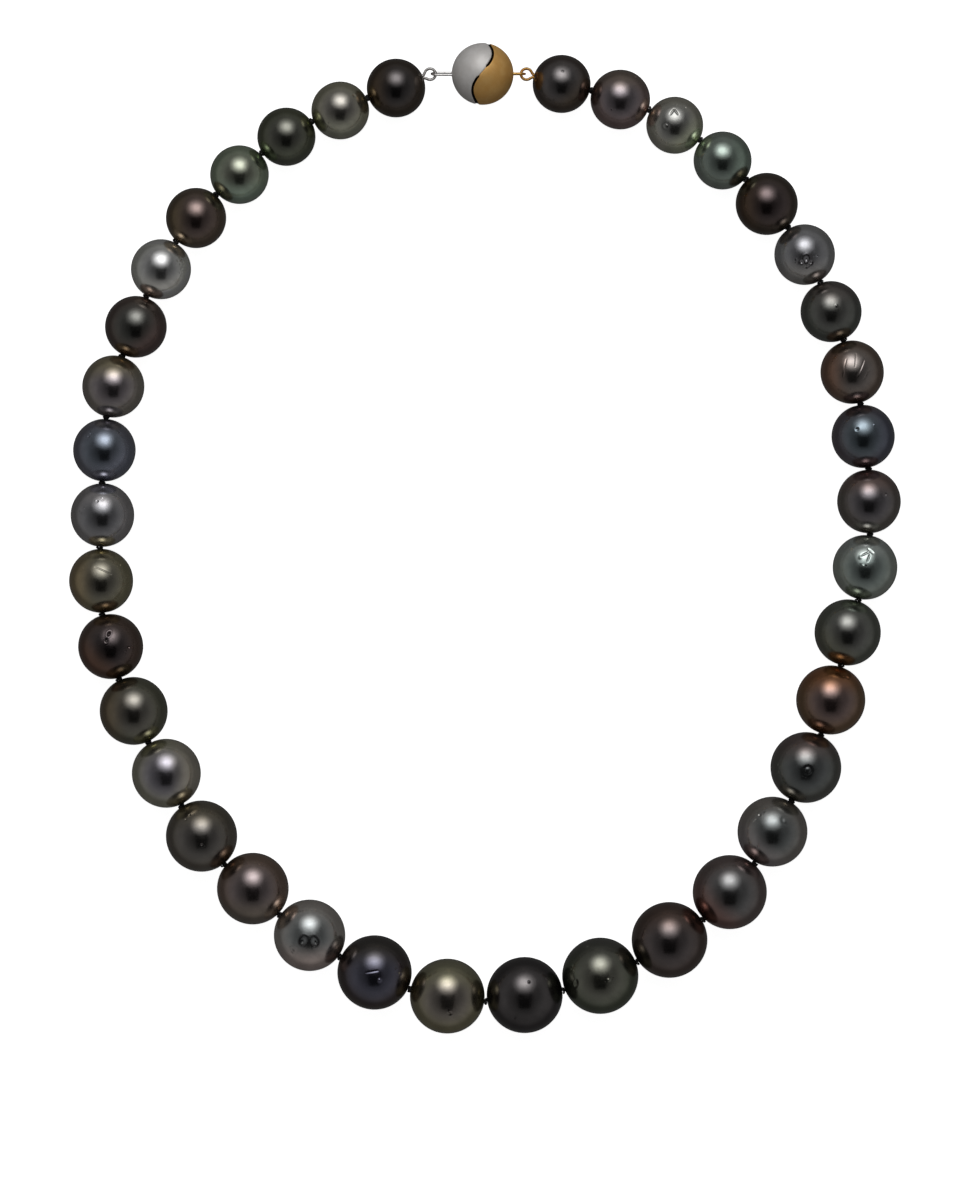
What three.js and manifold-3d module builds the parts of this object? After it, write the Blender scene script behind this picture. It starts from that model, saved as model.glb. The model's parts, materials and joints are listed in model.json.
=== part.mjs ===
// A graduated pearl necklace with a two-tone ball clasp, lying flat and fastened.
// Millimetres, +Z up. The table is z = 0 and the clasp lies towards +Y.
// The strand runs anticlockwise, seen from above: silver clasp half, pearl_01 to pearl_38, gold clasp half.

import * as THREE from 'three';
import { mergeVertices } from 'three/addons/utils/BufferGeometryUtils.js';
import Module from 'manifold-3d';

const wasm = await Module();
wasm.setup();

// ---------------------------------------------------------------- driving sizes

const smallestPearl = 9.3; // diameter beside the clasp
const largestPearl = 12.3; // diameter at the front of the neck
const knotGap = 0.3; // between the surfaces of two neighbouring pearls

const threadDiameter = 0.5; // doubled silk
const threadClearance = 0.3; // between the silk and the wall of a drill hole
const knotGrip = 0.07; // how far a knot reaches past the edge of a drill hole
const knotLength = 0.4; // along the strand, partly inside the two hole mouths

const claspDiameter = 10;
const claspWall = 0.6; // thickness of the two outer shells
const faceWall = 0.4; // thickness of the plates that close the two halves
const partingGap = 0.36; // slot between the silver and the gold half
const partingLap = 0.3; // how far the silver plate reaches past the middle of the slot, to close it from below
const partingSwing = 1.65; // how far the S of the slot sways to each side
const partingTurns = 0.425; // turns of the S from the middle of the ball to its edge
const seatGap = 0.3; // between pieces that are soldered or pushed together

const pinDiameter = 0.9;
const pinHeadDiameter = 1.3;
const pinFlangeDiameter = 2.2;
const pinFlangeThickness = 0.5;
const springClearance = 0.2; // between the pin and the spring that holds it
const springWall = 0.25;
const springDepth = 0.25; // behind the pin's round head
const springSlot = 0.4;
const springBackGap = 0.35; // from the back of the spring to the inside of the ball
const catchClearance = 0.5; // around the pin's head as it leaves the silver half

const eyeletWire = 0.35;
const eyeletWidth = 1.45; // between the centre lines of its two legs
const eyeletRoot = 0.15; // how far its legs reach past the inside of a shell
const silverEyeletReach = 3.5; // from the ball's surface to the middle of the wound loop
const goldEyeletReach = 2.1;
const silverEyeletTilt = THREE.MathUtils.degToRad(20); // about the line of the clasp

const loopWire = 0.45; // silk wound with fine wire
const loopDiameter = 1.8; // centre line of the round of the loop
const loopStandoff = 1.2; // from its middle to the surface of the end pearl
const loopStem = 0.6; // diameter of its two ends, side by side in the drill hole
const loopStemDepth = 0.9; // of those ends in the drill hole
const loopClearance = 0.25; // between a loop and the eyelet that it holds

// The oval that the strand is laid in. Its size follows from the length of the strand.
// Its shape is an ellipse with three slight changes, each a share of its half width.
const ovalLength = 1.203; // half length
const ovalTaper = 0.038; // how much narrower the back is than the front
const ovalRise = 0.082; // how far the widest part lies towards the back
const ovalLean = 0.016; // how far the left side is pulled down and the right side pushed up
const claspLay = 0.3; // how far the clasp lies outside the oval

// ---------------------------------------------------------------- the pearls

const shades = {
  aubergine: 0x2f262a,
  rosewood: 0x54403a,
  mauve: 0x6b5f62,
  rose_grey: 0x86787a,
  cocoa: 0x4a403a,
  copper: 0x6d4a42,
  charcoal: 0x2c2b2d,
  blue_black: 0x2d2e38,
  steel: 0x66686c,
  slate: 0x565d62,
  silver: 0x8f908e,
  silver_green: 0x84897c,
  pale_olive: 0x83826f,
  olive: 0x5d5a44,
  moss: 0x383b30,
  peacock: 0x36423a,
};

// Shade, difference from the even graduation in diameter, and how far the pearl lies outside the smooth oval.
const pearls = [
  ['aubergine', 0.2, 0.2],
  ['pale_olive', -0.1, -0.2],
  ['moss', -0.2, 0.2],
  ['silver_green', -0.3, -0.1],
  ['aubergine', -0.2, 0.1],
  ['silver', -0.4, 0],
  ['slate', -0.3, -0.5],
  ['rose_grey', -0.4, 0],
  ['blue_black', -0.5, -0.4],
  ['steel', -0.5, -0.6],
  ['olive', -0.6, 0.4],
  ['copper', -0.6, 0.9],
  ['moss', -0.3, 0.5],
  ['silver_green', -0.3, -0.1],
  ['cocoa', -0.1, 0.5],
  ['rosewood', -0.2, -0.3],
  ['silver', -0.4, -0.4],
  ['blue_black', -0.1, -0.2],
  ['olive', -0.2, 0.3],
  ['aubergine', 0, -0.1],
  ['peacock', 0.2, -0.1],
  ['cocoa', 0.3, 0.2],
  ['mauve', 0.2, 0.8],
  ['slate', -0.3, 0.1],
  ['moss', 0, -0.4],
  ['copper', -0.1, -0.8],
  ['peacock', -0.4, -1],
  ['silver_green', -0.5, 0.2],
  ['aubergine', -0.5, 0.4],
  ['blue_black', -0.4, 0.2],
  ['cocoa', -0.2, 0.4],
  ['peacock', -0.4, 0.2],
  ['steel', -0.3, 0.4],
  ['aubergine', 0.1, 0],
  ['slate', -0.4, -0.2],
  ['pale_olive', -0.4, -0.1],
  ['mauve', 0.2, -0.2],
  ['charcoal', 0.1, -0.3],
];
const count = pearls.length;

const radii = pearls.map(([, difference], i) => {
  const fromClasp = Math.min(i, count - 1 - i) / (count / 2 - 1);
  return (THREE.MathUtils.lerp(smallestPearl, largestPearl, fromClasp) + difference) / 2;
});

// ---------------------------------------------------------------- solids

function solidOf(geometry) {
  const bare = geometry.clone();
  bare.deleteAttribute('normal');
  bare.deleteAttribute('uv');
  const merged = mergeVertices(bare, 1e-5);
  return new wasm.Manifold(new wasm.Mesh({
    numProp: 3,
    vertProperties: new Float32Array(merged.attributes.position.array),
    triVerts: new Uint32Array(merged.index.array),
  }));
}

function geometryOf(solid) {
  const mesh = solid.getMesh();
  const geometry = new THREE.BufferGeometry();
  geometry.setAttribute('position', new THREE.BufferAttribute(mesh.vertProperties, 3));
  geometry.setIndex(new THREE.BufferAttribute(mesh.triVerts, 1));
  geometry.computeVertexNormals();
  return geometry;
}

// The turn that takes local Y to a direction and keeps local Z as upright as it can be.
function turnTo(direction) {
  const y = direction.clone().normalize();
  const x = y.clone().cross(new THREE.Vector3(0, 0, 1)).normalize();
  return new THREE.Quaternion().setFromRotationMatrix(new THREE.Matrix4().makeBasis(x, y, x.clone().cross(y)));
}

function rodBetween(from, to, radius, sides) {
  const along = to.clone().sub(from);
  const rod = new THREE.CylinderGeometry(radius, radius, along.length(), sides);
  rod.applyQuaternion(turnTo(along));
  const middle = from.clone().lerp(to, 0.5);
  return solidOf(rod.translate(middle.x, middle.y, middle.z));
}

// A solid of revolution about X, from points [x, radius] in order of x.
function turnedAboutX(outline, segments) {
  const profile = outline.map(([x, radius]) => new THREE.Vector2(radius, x));
  return new THREE.LatheGeometry(profile, segments).rotateZ(-Math.PI / 2);
}

// ---------------------------------------------------------------- where the strand lies

const claspRadius = claspDiameter / 2;
const up = new THREE.Vector3(0, 0, 1);
const slimmestOval = 1 / 12; // half width, as a share of the strand's length
const roundestOval = 1 / 4;
const longestStep = Math.PI / 4; // round the oval, from one pearl to the next
const halvings = 60; // when a place or a size is closed in on

// A point of the oval of half width 'size', moved outwards by 'outside'. 'turn' is 0 at the clasp.
function ovalPoint(size, turn, outside, height) {
  const sin = Math.sin(turn);
  const cos = Math.cos(turn);
  const x = -sin + ovalTaper * Math.sin(2 * turn);
  const y = ovalLength * cos + ovalRise * (1 - Math.cos(2 * turn)) - ovalLean * Math.sin(2 * turn);
  const point = new THREE.Vector3(x * size, y * size, 0);
  return point.addScaledVector(point.clone().normalize(), outside).setZ(height);
}

function halve(low, high, isLow) {
  for (let i = 0; i < halvings; i++) {
    const middle = (low + high) / 2;
    if (isLow(middle)) low = middle;
    else high = middle;
  }
  return (low + high) / 2;
}

// The centres of the clasp, the two wound loops and the pearls, for an oval of a given size.
function layStrand(size) {
  const clasp = ovalPoint(size, 0, claspLay, claspRadius);
  const silverLoop = clasp.clone().setX(clasp.x - claspRadius - silverEyeletReach);
  const goldLoop = clasp.clone().setX(clasp.x + claspRadius + goldEyeletReach);
  const centres = [];
  let turn = 0;
  let last = silverLoop;
  let lastReach = loopStandoff;
  pearls.forEach(([, , outside], i) => {
    const spacing = lastReach + radii[i];
    const place = (t) => ovalPoint(size, t, outside, radii[i]);
    turn = halve(turn, turn + longestStep, (t) => place(t).distanceTo(last) < spacing);
    last = place(turn);
    lastReach = radii[i] + knotGap;
    centres.push(last);
  });
  const slack = last.distanceTo(goldLoop) - radii[count - 1] - loopStandoff;
  return { clasp, silverLoop, goldLoop, centres, slack, turn };
}

const strandLength = radii.reduce((sum, radius) => sum + 2 * radius + knotGap, claspDiameter);
const ovalSize = halve(slimmestOval * strandLength, roundestOval * strandLength, (size) => {
  const laid = layStrand(size);
  return laid.turn > 2 * Math.PI || laid.slack < 0;
});
const { clasp, silverLoop, goldLoop, centres } = layStrand(ovalSize);

// Each drill hole points along the strand, from one neighbour to the other.
// The holes of the two end pearls point straight at the middle of their wound loops.
const holeDirections = centres.map((centre, i) => {
  const from = i === 0 ? silverLoop : i === count - 1 ? centre : centres[i - 1];
  const to = i === count - 1 ? goldLoop : i === 0 ? centre : centres[i + 1];
  return to.clone().sub(from).normalize();
});
const mouthAfter = (i) => centres[i].clone().addScaledVector(holeDirections[i], radii[i]);
const mouthBefore = (i) => centres[i].clone().addScaledVector(holeDirections[i], -radii[i]);

// ---------------------------------------------------------------- pearls

const holeRadius = threadDiameter / 2 + threadClearance;
const pearlSegments = 14;
const pearlSteps = 8;

// Turned so that a flat of the facets lies underneath, as a pearl doesn't roll on its string.
function pearlGeometry(radius) {
  const mouth = Math.asin(holeRadius / radius);
  const profile = [];
  for (let i = 0; i <= pearlSteps; i++) {
    const angle = THREE.MathUtils.lerp(mouth, Math.PI - mouth, i / pearlSteps);
    profile.push(new THREE.Vector2(radius * Math.sin(angle), -radius * Math.cos(angle)));
  }
  profile.push(profile[0].clone());
  return new THREE.LatheGeometry(profile, pearlSegments).rotateY(Math.PI / pearlSegments);
}

// ---------------------------------------------------------------- silk

const knotRadius = holeRadius + knotGrip;
const threadSides = 5;
const knotSegments = 7;
const knotRings = 4;

function knotSolid(middle, direction) {
  const knot = new THREE.SphereGeometry(1, knotSegments, knotRings);
  knot.scale(knotRadius, knotLength / 2, knotRadius);
  knot.applyQuaternion(turnTo(direction));
  return solidOf(knot.translate(middle.x, middle.y, middle.z));
}

// The silk from one wound loop to the other: straight through every pearl, with a knot after each.
function silkSolid() {
  const intoKnot = knotLength / 4;
  const intoHole = -(loopStemDepth + seatGap);
  let silk = null;
  for (let i = 0; i < count; i++) {
    const direction = holeDirections[i];
    const start = mouthBefore(i).addScaledVector(direction, i === 0 ? -intoHole : -intoKnot);
    const end = mouthAfter(i).addScaledVector(direction, i === count - 1 ? intoHole : intoKnot);
    const run = rodBetween(start, end, threadDiameter / 2, threadSides);
    silk = silk ? silk.add(run) : run;
    if (i < count - 1) {
      const between = direction.clone().add(holeDirections[i + 1]);
      silk = silk.add(knotSolid(mouthAfter(i).lerp(mouthBefore(i + 1), 0.5), between));
    }
  }
  return silk;
}

// ---------------------------------------------------------------- clasp, with its middle at the origin

const legOffset = eyeletWidth / 2;
const insideRadius = claspRadius - claspWall;
const plateRadius = insideRadius - seatGap;
const pinReach = insideRadius - springBackGap - springDepth - springClearance - pinHeadDiameter / 2;
const wireSides = 8;
const stapleSteps = 20;
const turnedSegments = 14;
const springSegments = 16;

const outsideBall = solidOf(new THREE.SphereGeometry(claspRadius, 20, 14));
const insideBall = solidOf(new THREE.SphereGeometry(insideRadius, 14, 10));
const plateBall = solidOf(new THREE.SphereGeometry(plateRadius, 14, 10));

// Everything to the -X side of the S, kept 'back' from its middle line.
function sideOfS(back) {
  const reach = claspRadius + 1;
  const steps = 14;
  const edge = [];
  for (let i = 0; i <= steps; i++) {
    const y = THREE.MathUtils.lerp(-reach, reach, i / steps);
    const phase = (2 * Math.PI * partingTurns) / claspRadius;
    const slope = partingSwing * phase * Math.cos(phase * y);
    const normal = new THREE.Vector2(-1, slope).normalize();
    edge.push(new THREE.Vector2(partingSwing * Math.sin(phase * y), y).addScaledVector(normal, back));
  }
  const outline = [
    new THREE.Vector2(-2 * reach, -2 * reach),
    new THREE.Vector2(edge[0].x, -2 * reach),
    ...edge,
    new THREE.Vector2(edge[steps].x, 2 * reach),
    new THREE.Vector2(-2 * reach, 2 * reach),
  ];
  const slab = new THREE.ExtrudeGeometry(new THREE.Shape(outline), { depth: 2 * reach, bevelEnabled: false });
  return solidOf(slab.translate(0, 0, -reach));
}

function legHole(side, tilt) {
  const radius = eyeletWire / 2 + seatGap;
  const hole = new THREE.CylinderGeometry(radius, radius, 4 * claspWall, wireSides);
  hole.rotateZ(Math.PI / 2).translate(-claspRadius, 0, side * legOffset);
  return solidOf(hole.rotateX(tilt));
}

// The outer shell of the half on the -X side, drilled for the legs of its eyelet.
function shellSolid(tilt) {
  const skin = outsideBall.subtract(insideBall);
  return skin.intersect(sideOfS(partingGap / 2)).subtract(legHole(1, tilt)).subtract(legHole(-1, tilt));
}

// The plate that closes the half on the -X side, kept 'back' from the middle line of the S,
// with a round hole on the line of the clasp.
function faceSolid(back, openRadius) {
  const plate = plateBall.intersect(sideOfS(back)).subtract(sideOfS(back + faceWall));
  const hole = new THREE.CylinderGeometry(openRadius, openRadius, claspDiameter, turnedSegments);
  return plate.subtract(solidOf(hole.rotateZ(Math.PI / 2)));
}

// A wire staple on the -X side: two legs through the shell and a round end that a wound loop passes through.
function eyeletGeometry(reach, tilt) {
  const loopInside = (loopDiameter - loopWire) / 2;
  const tip = loopInside - eyeletWire / 2 - loopClearance;
  const bend = -claspRadius - reach + tip + legOffset;
  const root = -insideRadius + eyeletRoot;
  const staple = new THREE.CurvePath();
  staple.add(new THREE.LineCurve3(new THREE.Vector3(root, 0, legOffset), new THREE.Vector3(bend, 0, legOffset)));
  const round = [];
  const bendSteps = 8;
  for (let i = 0; i <= bendSteps; i++) {
    const angle = (Math.PI * i) / bendSteps;
    round.push(new THREE.Vector3(bend - legOffset * Math.sin(angle), 0, legOffset * Math.cos(angle)));
  }
  staple.add(new THREE.CatmullRomCurve3(round));
  staple.add(new THREE.LineCurve3(new THREE.Vector3(bend, 0, -legOffset), new THREE.Vector3(root, 0, -legOffset)));
  const section = [];
  for (let i = 0; i < wireSides; i++) {
    const angle = (2 * Math.PI * i) / wireSides;
    section.push(new THREE.Vector2(Math.cos(angle), Math.sin(angle)).multiplyScalar(eyeletWire / 2));
  }
  const wire = new THREE.ExtrudeGeometry(new THREE.Shape(section), { steps: stapleSteps, extrudePath: staple });
  return wire.rotateX(tilt);
}

// The gold half's pin, along the line of the clasp, with its round head inside the silver half.
function pinGeometry() {
  const neck = pinDiameter / 2;
  const head = pinHeadDiameter / 2;
  const flange = pinFlangeDiameter / 2;
  const flangeEnd = plateRadius - pinFlangeThickness;
  const neckAngle = Math.asin(neck / head);
  const headSteps = 6;
  const outline = [];
  for (let i = 0; i <= headSteps; i++) {
    const angle = ((Math.PI - neckAngle) * i) / headSteps;
    outline.push([-pinReach - head * Math.cos(angle), head * Math.sin(angle)]);
  }
  outline.push([flangeEnd - pinFlangeThickness, neck], [flangeEnd - pinFlangeThickness, flange]);
  outline.push([flangeEnd, flange], [flangeEnd, 0]);
  return turnedAboutX(outline, turnedSegments);
}

// The silver half's spring: a slit cup with a lip that closes behind the pin's round head.
function springSolid() {
  const chamber = pinHeadDiameter / 2 + springClearance;
  const lip = pinDiameter / 2 + springClearance;
  const outer = chamber + springWall;
  const bottom = -pinReach - pinHeadDiameter / 2 - springClearance;
  const back = bottom - springDepth;
  const shoulder = -pinReach + pinHeadDiameter / 2;
  const mouth = shoulder + springWall;
  const outline = [[back, 0], [back, outer - springWall], [bottom, outer], [mouth, outer], [mouth, lip], [shoulder, lip]];
  outline.push([shoulder - springClearance, chamber], [bottom, chamber], [bottom, 0]);
  let cup = solidOf(turnedAboutX(outline, springSegments));
  const slitLength = mouth - bottom;
  for (const turn of [0, Math.PI / 2]) {
    const slit = new THREE.BoxGeometry(slitLength, 3 * outer, springSlot).rotateX(turn);
    cup = cup.subtract(solidOf(slit.translate(mouth - slitLength / 2 + springWall, 0, 0)));
  }
  return cup;
}

// ---------------------------------------------------------------- wound loops

const loopSegments = 16;

// Silk wound with fine wire: a flat round that holds the eyelet, and its two ends in the pearl's hole.
function woundLoopSolid(middle, towardsPearl) {
  const round = new THREE.TorusGeometry(loopDiameter / 2, loopWire / 2, 7, loopSegments);
  const inside = middle.clone().addScaledVector(towardsPearl, loopStandoff + loopStemDepth);
  const edge = middle.clone().addScaledVector(towardsPearl, loopDiameter / 2);
  const ring = solidOf(round.translate(middle.x, middle.y, middle.z));
  return ring.add(rodBetween(edge, inside, loopStem / 2, wireSides));
}

// ---------------------------------------------------------------- assembly

const finishes = {
  whiteGold: { color: 0xa7a3a0, roughness: 0.32, metalness: 1 },
  yellowGold: { color: 0xc4924e, roughness: 0.3, metalness: 1 },
  springSteel: { color: 0x9a9da0, roughness: 0.4, metalness: 1 },
  silk: { color: 0x1b1719, roughness: 0.85, metalness: 0 },
};

const necklace = new THREE.Group();

function place(name, geometry, finish, position, turn) {
  const mesh = new THREE.Mesh(geometry, new THREE.MeshStandardMaterial(finish));
  mesh.name = name;
  if (position) mesh.position.copy(position);
  if (turn) mesh.quaternion.copy(turn);
  necklace.add(mesh);
}

pearls.forEach(([shade], i) => {
  const name = `pearl_${String(i + 1).padStart(2, '0')}`;
  const finish = { color: shades[shade], roughness: 0.28, metalness: 0.25 };
  place(name, pearlGeometry(radii[i]), finish, centres[i], turnTo(holeDirections[i]));
});

place('silk_strand', geometryOf(silkSolid()), finishes.silk);
place('silver_wound_loop', geometryOf(woundLoopSolid(silverLoop, holeDirections[0])), finishes.whiteGold);
const towardsLast = holeDirections[count - 1].clone().negate();
place('gold_wound_loop', geometryOf(woundLoopSolid(goldLoop, towardsLast)), finishes.yellowGold);

const silverSide = new THREE.Quaternion();
const goldSide = new THREE.Quaternion().setFromAxisAngle(up, Math.PI);
const silverHole = pinHeadDiameter / 2 + catchClearance;
const goldHole = pinDiameter / 2 + seatGap;
const silverEyelet = eyeletGeometry(silverEyeletReach, silverEyeletTilt);
const goldEyelet = eyeletGeometry(goldEyeletReach, 0);

place('silver_shell', geometryOf(shellSolid(silverEyeletTilt)), finishes.whiteGold, clasp, silverSide);
place('silver_face', geometryOf(faceSolid(-partingLap, silverHole)), finishes.whiteGold, clasp, silverSide);
place('silver_eyelet', silverEyelet, finishes.whiteGold, clasp, silverSide);
place('catch_spring', geometryOf(springSolid()), finishes.springSteel, clasp);
place('gold_shell', geometryOf(shellSolid(0)), finishes.yellowGold, clasp, goldSide);
place('gold_face', geometryOf(faceSolid(partingLap + partingGap, goldHole)), finishes.yellowGold, clasp, goldSide);
place('gold_eyelet', goldEyelet, finishes.yellowGold, clasp, goldSide);
place('catch_pin', pinGeometry(), finishes.yellowGold, clasp);

// The origin is on the table, under the middle of the necklace.
const box = new THREE.Box3().setFromObject(necklace, true);
const middle = box.getCenter(new THREE.Vector3());
necklace.position.set(-middle.x, -middle.y, -box.min.z);

export default necklace;
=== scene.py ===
# A graduated pearl necklace with a two-tone ball clasp, lying flat on a pale table.
# Metres, +Z up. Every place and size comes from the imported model.
import json
import math

import bmesh
import bpy
from mathutils import Matrix, Vector, noise


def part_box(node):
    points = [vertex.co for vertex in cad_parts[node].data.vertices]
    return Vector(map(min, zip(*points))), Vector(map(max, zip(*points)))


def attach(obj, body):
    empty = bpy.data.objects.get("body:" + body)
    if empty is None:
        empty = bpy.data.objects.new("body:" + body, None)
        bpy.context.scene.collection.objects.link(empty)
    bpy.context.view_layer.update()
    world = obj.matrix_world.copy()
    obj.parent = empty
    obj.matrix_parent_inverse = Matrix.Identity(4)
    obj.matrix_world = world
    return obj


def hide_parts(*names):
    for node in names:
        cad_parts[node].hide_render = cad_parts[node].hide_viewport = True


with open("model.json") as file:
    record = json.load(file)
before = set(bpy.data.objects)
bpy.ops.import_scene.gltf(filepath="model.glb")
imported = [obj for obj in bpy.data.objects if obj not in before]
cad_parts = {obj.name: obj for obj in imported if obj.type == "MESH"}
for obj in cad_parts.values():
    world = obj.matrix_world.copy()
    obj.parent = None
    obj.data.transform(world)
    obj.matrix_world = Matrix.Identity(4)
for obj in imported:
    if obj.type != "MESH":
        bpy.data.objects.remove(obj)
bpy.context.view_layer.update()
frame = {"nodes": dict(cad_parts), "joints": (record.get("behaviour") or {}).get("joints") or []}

MM = 0.001
UP = Vector((0, 0, 1))
COUNT = 38
JOINTS = {joint["name"]: joint for joint in frame["joints"]}


def joint_place(name):
    return Vector(JOINTS[name]["pos_m"])


# ---------------------------------------------------------------- camera

LONG_SIDE = 194 * MM  # what the long side of the picture takes in
CAMERA_HEIGHT = 0.95
CAMERA_X = -0.4 * MM
CAMERA_Y = -10.04 * MM
PEARL_MIDDLE = 6 * MM

camera_data = bpy.data.cameras.new("camera")
camera_data.sensor_width = 36
camera_data.lens = 36 * CAMERA_HEIGHT / LONG_SIDE
camera = bpy.data.objects.new("camera", camera_data)
camera.location = (CAMERA_X, CAMERA_Y, PEARL_MIDDLE + CAMERA_HEIGHT)
bpy.context.scene.collection.objects.link(camera)
bpy.context.scene.camera = camera

# ---------------------------------------------------------------- mesh helpers


def new_piece(name, verts, faces, material, body, at=(0, 0, 0), stands_for=(), sharp=()):
    """A smooth mesh piece that rides on a body. sharp holds vertex pairs whose edge stays crisp."""
    mesh = bpy.data.meshes.new(name)
    mesh.from_pydata([tuple(v) for v in verts], [], faces)
    mesh.update()
    mesh.polygons.foreach_set("use_smooth", [True] * len(mesh.polygons))
    if sharp:
        wanted = {frozenset(pair) for pair in sharp}
        for edge in mesh.edges:
            if frozenset(edge.vertices) in wanted:
                edge.use_edge_sharp = True
    return add_piece(name, mesh, material, body, at, stands_for)


def add_piece(name, mesh, material, body, at=(0, 0, 0), stands_for=()):
    mesh.materials.clear()
    mesh.materials.append(material)
    obj = bpy.data.objects.new(name, mesh)
    obj.location = at
    bpy.context.scene.collection.objects.link(obj)
    bpy.context.view_layer.update()
    if stands_for:
        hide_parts(*stands_for)
    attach(obj, body)
    return obj


def basis(along):
    """Two directions at right angles to along, the second as upright as it can be."""
    along = along.normalized()
    side = along.cross(UP)
    if side.length < 1e-6:
        side = Vector((1, 0, 0))
    side.normalize()
    return side, side.cross(along)


def tube(points, radius, around=12, closed=False):
    """Vertices and faces of a round tube along points. radius is one number or one for each point."""
    count = len(points)
    radii = radius if isinstance(radius, (list, tuple)) else [radius] * count
    tangents = []
    for i in range(count):
        before = points[i - 1] if i or closed else points[0]
        after = points[(i + 1) % count] if i < count - 1 or closed else points[-1]
        tangents.append((after - before).normalized())
    side = basis(tangents[0])[0]
    sides = [side]
    for i in range(1, count):
        side = side - tangents[i] * side.dot(tangents[i])
        side.normalize()
        sides.append(side)
    twist = 0
    if closed:
        end = sides[-1] - tangents[0] * sides[-1].dot(tangents[0])
        turned_side = end.normalized()
        twist = math.atan2(tangents[0].dot(turned_side.cross(sides[0])), turned_side.dot(sides[0]))
    verts, faces = [], []
    for i in range(count):
        up = tangents[i].cross(sides[i])
        for j in range(around):
            angle = 2 * math.pi * j / around + twist * i / count
            verts.append(points[i] + (sides[i] * math.cos(angle) + up * math.sin(angle)) * radii[i])
    rows = count if closed else count - 1
    for i in range(rows):
        for j in range(around):
            a = i * around + j
            b = i * around + (j + 1) % around
            c = ((i + 1) % count) * around + (j + 1) % around
            d = ((i + 1) % count) * around + j
            faces.append((a, b, c, d))
    if not closed:
        faces.append(tuple(reversed(range(around))))
        faces.append(tuple((count - 1) * around + j for j in range(around)))
    return verts, faces


def joined(*parts):
    verts, faces = [], []
    for part_verts, part_faces in parts:
        base = len(verts)
        verts += part_verts
        faces += [tuple(base + i for i in face) for face in part_faces]
    return verts, faces


def smooth_path(points, steps):
    """A Catmull-Rom curve through points."""
    out = []
    for i in range(len(points) - 1):
        p0 = points[max(i - 1, 0)]
        p1, p2 = points[i], points[i + 1]
        p3 = points[min(i + 2, len(points) - 1)]
        for k in range(steps):
            t = k / steps
            out.append(
                (p1 * 2 + (p2 - p0) * t + (p0 * 2 - p1 * 5 + p2 * 4 - p3) * t ** 2
                 + (p1 * 3 - p0 - p2 * 3 + p3) * t ** 3) / 2
            )
    out.append(points[-1].copy())
    return out


# ---------------------------------------------------------------- node helpers


def linear(hex_colour):
    """A hex colour as linear RGBA."""
    channels = [((hex_colour >> shift) & 255) / 255 for shift in (16, 8, 0)]
    return (*(c / 12.92 if c < 0.04045 else ((c + 0.055) / 1.055) ** 2.4 for c in channels), 1)


class Nodes:
    def __init__(self, name):
        self.material = bpy.data.materials.new(name)
        self.material.use_nodes = True
        self.tree = self.material.node_tree
        self.shader = next(n for n in self.tree.nodes if n.type == "BSDF_PRINCIPLED")

    def add(self, kind, **settings):
        node = self.tree.nodes.new(kind)
        for key, value in settings.items():
            setattr(node, key, value)
        return node

    def join(self, output, entry):
        self.tree.links.new(output, entry)

    def object_place(self, scale=1.0):
        coords = self.add("ShaderNodeTexCoord")
        mapping = self.add("ShaderNodeMapping")
        mapping.inputs["Scale"].default_value = (scale, scale, scale)
        self.join(coords.outputs["Object"], mapping.inputs["Vector"])
        return mapping.outputs["Vector"]

    def noise(self, vector, scale, detail=2.0, roughness=0.5, distortion=0.0):
        node = self.add("ShaderNodeTexNoise")
        node.inputs["Scale"].default_value = scale
        node.inputs["Detail"].default_value = detail
        node.inputs["Roughness"].default_value = roughness
        node.inputs["Distortion"].default_value = distortion
        self.join(vector, node.inputs["Vector"])
        return node.outputs["Fac"]

    def ramp(self, value, low, high, to_low=0.0, to_high=1.0, smooth=True):
        node = self.add("ShaderNodeMapRange")
        if smooth:
            node.interpolation_type = "SMOOTHSTEP"
        node.inputs["From Min"].default_value = low
        node.inputs["From Max"].default_value = high
        node.inputs["To Min"].default_value = to_low
        node.inputs["To Max"].default_value = to_high
        self.join(value, node.inputs["Value"])
        return node.outputs["Result"]

    def mix(self, factor, a, b, blend="MIX"):
        node = self.add("ShaderNodeMix", data_type="RGBA", blend_type=blend)
        for value, entry in ((factor, node.inputs[0]), (a, node.inputs[6]), (b, node.inputs[7])):
            if hasattr(value, "is_output"):
                self.join(value, entry)
            else:
                entry.default_value = value
        return node.outputs[2]

    def bump(self, height, strength, distance):
        node = self.add("ShaderNodeBump")
        node.inputs["Strength"].default_value = strength
        node.inputs["Distance"].default_value = distance
        self.join(height, node.inputs["Height"])
        self.join(node.outputs["Normal"], self.shader.inputs["Normal"])

    def dot(self, vector, direction):
        node = self.add("ShaderNodeVectorMath", operation="DOT_PRODUCT")
        self.join(vector, node.inputs[0])
        node.inputs[1].default_value = direction
        return node.outputs["Value"]


# ---------------------------------------------------------------- materials


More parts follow.
